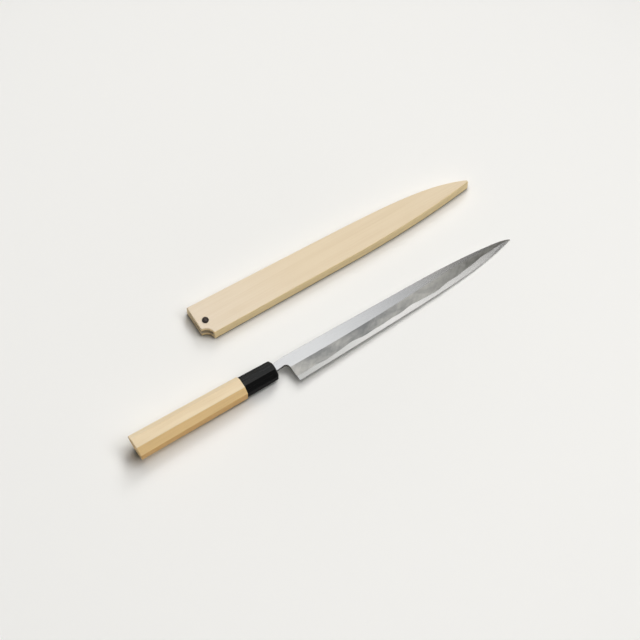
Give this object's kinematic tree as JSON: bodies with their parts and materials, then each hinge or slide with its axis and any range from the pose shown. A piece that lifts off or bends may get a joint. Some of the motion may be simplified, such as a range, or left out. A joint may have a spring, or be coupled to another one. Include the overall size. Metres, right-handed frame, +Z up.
{
  "type": "sashimi knife",
  "caption": "Long slim single-bevel slicing knife with an eight-sided light wood handle and black horn ferrule, lying beside its flat wooden sheath, which a dark domed pin locks",
  "frame": {"origin": "middle of the footprint of knife and sheath together, on the table", "axes": "+X along the knife from butt to tip, +Y from the knife's cutting edge towards its spine and the sheath, +Z up from the table"},
  "size_m": [0.3992, 0.1138, 0.0237],
  "materials": {
    "hard_steel": "bright, ground and whetstone-polished carbon steel",
    "soft_iron": "soft iron, satin on the flat and cloudy on the bevel",
    "horn": "polished black buffalo horn",
    "handle_wood": "bare sanded magnolia, fine straight grain",
    "dowel_wood": "plain turned magnolia, hidden in the handle",
    "seal_resin": "dark hard-set resin",
    "sheath_lower_wood": "bare sanded magnolia, pale",
    "sheath_upper_wood": "bare sanded magnolia, pale",
    "pin_wood": "oiled dark ebony"
  },
  "bodies": {
    "knife": {"iron_blade_body": "soft_iron", "edge_steel": "hard_steel", "horn_ferrule": "horn", "magnolia_handle": "handle_wood", "handle_dowel": "dowel_wood", "tang_seal": "seal_resin"},
    "sheath": {"sheath_lower_half": "sheath_lower_wood", "sheath_upper_half": "sheath_upper_wood"},
    "pin": {"sheath_pin": "pin_wood"}
  },
  "joints": [
    {"name": "sheath_slide", "type": "slide", "parent": "knife", "child": "sheath", "axis": [0.9999, -0.0119, 0], "range_m": [0, 0.25]},
    {"name": "pin_slide", "type": "slide", "parent": "sheath", "child": "pin", "axis": [0, 0, 1], "range_m": [0, 0.016]}
  ]
}
